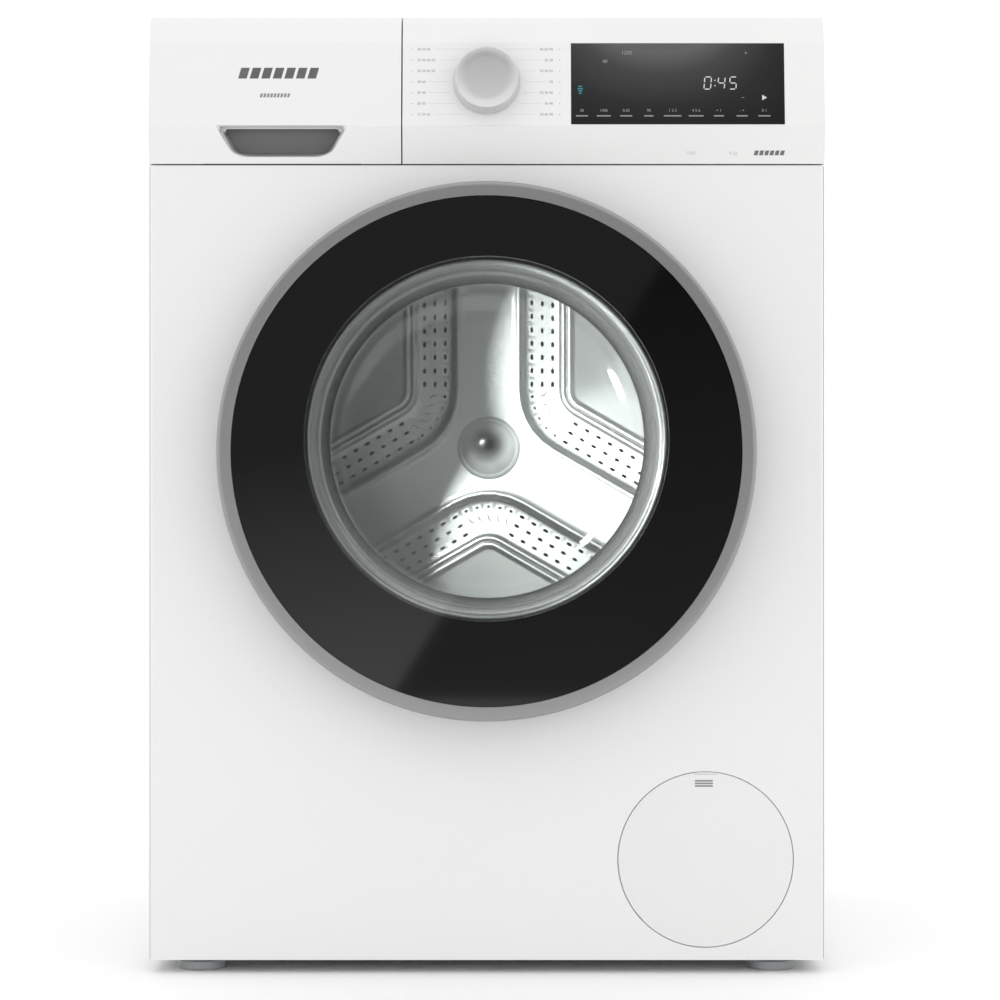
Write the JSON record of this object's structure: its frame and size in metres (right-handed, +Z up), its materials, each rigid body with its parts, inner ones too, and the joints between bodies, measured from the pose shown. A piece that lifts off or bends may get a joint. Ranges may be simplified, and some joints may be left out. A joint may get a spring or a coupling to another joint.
{
  "type": "front load washing machine",
  "caption": "Front load washing machine: round glass door with a silver rim, a detergent drawer, a programme dial, a display and a pump hatch, with drum, tub, motor and belt inside.",
  "frame": {"origin": "on the floor, under the centre of the closed machine", "axes": "+Z up, front faces -Y, +X to the right of a person facing the front"},
  "size_m": [0.598, 0.633, 0.848],
  "materials": {
    "white_enamel": "gloss",
    "white_plastic": "gloss",
    "white_laminate": "satin",
    "silver_trim": "satin",
    "black_gloss": "gloss",
    "display_glass": "gloss",
    "window_glass": "polished",
    "bowl_glass": "polished",
    "dark_plastic": "matte",
    "grey_plastic": "satin",
    "tray_plastic": "satin",
    "siphon_blue": "satin",
    "tub_plastic": "matte",
    "knob_metal": "satin",
    "stainless": "satin",
    "galvanised": "satin",
    "spring_steel": "satin",
    "bearing_steel": "polished",
    "cast_aluminium": "satin",
    "gasket_rubber": "matte",
    "black_rubber": "matte",
    "concrete": "matte",
    "circuit_board": "satin"
  },
  "bodies": {
    "cabinet": {"front_panel": "white_enamel", "left_side_panel": "white_enamel", "right_side_panel": "white_enamel", "rear_panel": "galvanised", "rear_service_cover": "galvanised", "worktop": "white_laminate", "base_tray": "dark_plastic", "foot_lock_nuts": "galvanised", "frame_braces": "galvanised", "transport_hole_caps": "grey_plastic", "control_fascia": "white_plastic", "display_window": "display_glass", "control_board": "circuit_board", "dispenser_housing": "grey_plastic", "water_inlet_valve": "tray_plastic", "drain_pump": "grey_plastic", "sump_hose": "black_rubber", "drain_hose": "grey_plastic", "mains_cable_gland": "dark_plastic", "hatch_frame": "white_plastic", "hinge_bracket": "galvanised", "hinge_pin": "bearing_steel", "door_lock": "dark_plastic", "door_gasket": "gasket_rubber", "suspension_springs": "spring_steel", "damper_cylinders": "dark_plastic", "fill_hose": "black_rubber"},
    "door": {"door_outer_ring": "silver_trim", "door_black_ring": "black_gloss", "door_window": "window_glass", "door_inner_ring": "grey_plastic", "door_glass_bowl": "bowl_glass", "door_hinge_arm": "cast_aluminium", "door_latch_hook": "spring_steel"},
    "drawer": {"drawer_front": "white_plastic", "drawer_tray": "tray_plastic", "siphon_cap": "siphon_blue"},
    "hatch": {"pump_hatch": "white_plastic"},
    "filter": {"pump_filter": "dark_plastic"},
    "knob": {"programme_knob": "knob_metal"},
    "tub": {"tub_front_shell": "tub_plastic", "tub_rear_shell": "tub_plastic", "front_counterweight": "concrete", "upper_counterweight": "concrete", "shaft_bearings_and_seal": "bearing_steel", "heating_element": "stainless", "drive_motor": "cast_aluminium", "drive_belt": "black_rubber", "damper_rods": "spring_steel"},
    "drum": {"drum_shell": "stainless", "drum_back": "stainless", "hub_cap": "bearing_steel", "drum_paddles": "grey_plastic", "drum_spider": "cast_aluminium", "drum_pulley": "cast_aluminium"},
    "motor_shaft": {"motor_pulley": "spring_steel"},
    "foot_front_left": {"foot_front_left": "black_rubber"},
    "foot_front_right": {"foot_front_right": "black_rubber"},
    "foot_rear_left": {"foot_rear_left": "black_rubber"},
    "foot_rear_right": {"foot_rear_right": "black_rubber"}
  },
  "joints": [
    {"name": "door_hinge", "type": "hinge", "parent": "cabinet", "child": "door", "pos_m": [-0.218, -0.2985, 0.461], "axis": [0, 0, -1], "range_deg": [0, 160]},
    {"name": "drawer_slide", "type": "slide", "parent": "cabinet", "child": "drawer", "axis": [0, -1, 0], "range_m": [0, 0.19]},
    {"name": "hatch_pull", "type": "slide", "parent": "cabinet", "child": "hatch", "axis": [0, -1, 0], "range_m": [0, 0.06]},
    {"name": "filter_turn", "type": "hinge", "parent": "cabinet", "child": "filter", "pos_m": [0.1934, -0.2515, 0.1008], "axis": [0, -1, 0], "range_deg": [0, 270]},
    {"name": "programme_dial", "type": "hinge", "parent": "cabinet", "child": "knob", "pos_m": [0, -0.27429, 0.78799], "axis": [0, -0.991, 0.1336], "continuous": true},
    {"name": "tub_bounce", "type": "slide", "parent": "cabinet", "child": "tub", "axis": [0, 0, 1], "range_m": [-0.008, 0.008], "stiffness_N_per_m": 12000, "springref_m": 0.03261, "deforming": ["suspension_springs", "door_gasket", "sump_hose", "fill_hose"]},
    {"name": "drum_spin", "type": "hinge", "parent": "tub", "child": "drum", "pos_m": [0, 0.18, 0.472], "axis": [0, 1, 0], "continuous": true},
    {"name": "motor_spin", "type": "hinge", "parent": "tub", "child": "motor_shaft", "pos_m": [-0.03, 0.2, 0.108], "axis": [0, 1, 0], "continuous": true},
    {"name": "foot_front_left_screw", "type": "slide", "parent": "cabinet", "child": "foot_front_left", "axis": [0, 0, -1], "range_m": [0, 0.015]},
    {"name": "foot_front_right_screw", "type": "slide", "parent": "cabinet", "child": "foot_front_right", "axis": [0, 0, -1], "range_m": [0, 0.015]},
    {"name": "foot_rear_left_screw", "type": "slide", "parent": "cabinet", "child": "foot_rear_left", "axis": [0, 0, -1], "range_m": [0, 0.015]},
    {"name": "foot_rear_right_screw", "type": "slide", "parent": "cabinet", "child": "foot_rear_right", "axis": [0, 0, -1], "range_m": [0, 0.015]}
  ],
  "couplings": [
    {"joint": "motor_spin", "follows": "drum_spin", "ratio": 13.182}
  ]
}
